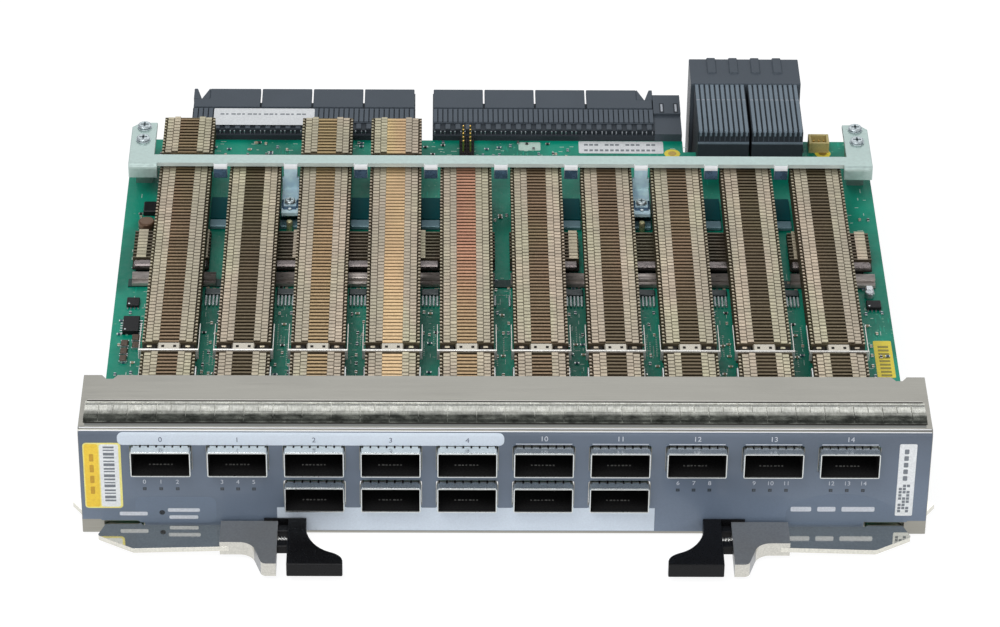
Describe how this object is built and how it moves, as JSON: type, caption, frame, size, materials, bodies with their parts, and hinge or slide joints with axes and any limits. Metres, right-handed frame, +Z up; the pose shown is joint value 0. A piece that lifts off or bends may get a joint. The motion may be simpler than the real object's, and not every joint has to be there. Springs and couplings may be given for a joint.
{
  "type": "switch line card",
  "caption": "Plug-in interface card for a network chassis: faceplate with pluggable optics cages, finned heat sinks, rear backplane connectors and two ejector levers.",
  "frame": {"origin": "middle of the underside of the faceplate's bottom flange", "axes": "+X to the right along the faceplate, +Y back into the chassis, +Z up off the board's port side"},
  "size_m": [0.2862, 0.2617, 0.0441],
  "materials": {
    "faceplate_coat": "satin slate paint",
    "strip_metal": "bright spring metal",
    "board_laminate": "green solder mask",
    "cage_metal": "nickel plate",
    "host_plastic": "black moulded",
    "sink_metal": "nickel plated fins",
    "chip_plastic": "black package",
    "pipe_metal": "nickel plate",
    "bar_metal": "light grey",
    "post_metal": "plated",
    "screw_metal": "plated",
    "connector_plastic": "dark grey moulded",
    "header_plastic": "natural moulded",
    "lever_metal": "polished",
    "trigger_plastic": "black moulded",
    "spring_metal": "spring wire"
  },
  "bodies": {
    "card": {"board_chips": "chip_plastic", "board_headers": "header_plastic", "chip_sink_left": "sink_metal", "chip_sink_middle": "sink_metal", "chip_sink_middle_left": "sink_metal", "chip_sink_middle_right": "sink_metal", "chip_sink_right": "sink_metal", "crossbar_posts": "post_metal", "crossbar_screws": "screw_metal", "emi_strip": "strip_metal", "faceplate": "faceplate_coat", "guide_block": "connector_plastic", "heat_sink_00": "sink_metal", "heat_sink_01": "sink_metal", "heat_sink_02": "sink_metal", "heat_sink_03": "sink_metal", "heat_sink_04": "sink_metal", "heat_sink_05": "sink_metal", "heat_sink_06": "sink_metal", "heat_sink_07": "sink_metal", "heat_sink_08": "sink_metal", "heat_sink_09": "sink_metal", "heat_sink_10": "sink_metal", "heat_sink_11": "sink_metal", "heat_sink_12": "sink_metal", "heat_sink_13": "sink_metal", "heat_sink_14": "sink_metal", "left_connector_housing": "connector_plastic", "left_connector_wafers": "connector_plastic", "main_board": "board_laminate", "middle_connector_housing": "connector_plastic", "middle_connector_wafers": "connector_plastic", "pivot_pins": "screw_metal", "port_cage_00": "cage_metal", "port_cage_01": "cage_metal", "port_cage_02": "cage_metal", "port_cage_03": "cage_metal", "port_cage_04": "cage_metal", "port_cage_05": "cage_metal", "port_cage_06": "cage_metal", "port_cage_07": "cage_metal", "port_cage_08": "cage_metal", "port_cage_09": "cage_metal", "port_cage_10": "cage_metal", "port_cage_11": "cage_metal", "port_cage_12": "cage_metal", "port_cage_13": "cage_metal", "port_cage_14": "cage_metal", "port_connectors": "host_plastic", "rear_crossbar": "bar_metal", "sink_rail": "pipe_metal", "tall_shroud": "connector_plastic", "tall_wafers": "connector_plastic"},
    "left_lever": {"lever_left": "lever_metal", "trigger_spring_left": "spring_metal"},
    "left_trigger": {"trigger_left": "trigger_plastic"},
    "right_lever": {"lever_right": "lever_metal", "trigger_spring_right": "spring_metal"},
    "right_trigger": {"trigger_right": "trigger_plastic"}
  },
  "joints": [
    {"name": "left_lever_hinge", "type": "hinge", "parent": "card", "child": "left_lever", "pos_m": [-0.1355, -0.003, 0.0042], "axis": [0, 0, -1], "range_deg": [0, 60]},
    {"name": "left_trigger_slide", "type": "slide", "parent": "left_lever", "child": "left_trigger", "axis": [-1, 0, 0], "range_m": [0, 0.0025], "stiffness_N_per_m": 300, "springref_m": -0.002, "deforming": ["trigger_spring_left"]},
    {"name": "right_lever_hinge", "type": "hinge", "parent": "card", "child": "right_lever", "pos_m": [0.1355, -0.003, 0.0042], "axis": [0, 0, 1], "range_deg": [0, 60]},
    {"name": "right_trigger_slide", "type": "slide", "parent": "right_lever", "child": "right_trigger", "axis": [1, 0, 0], "range_m": [0, 0.0025], "stiffness_N_per_m": 300, "springref_m": -0.002, "deforming": ["trigger_spring_right"]}
  ]
}
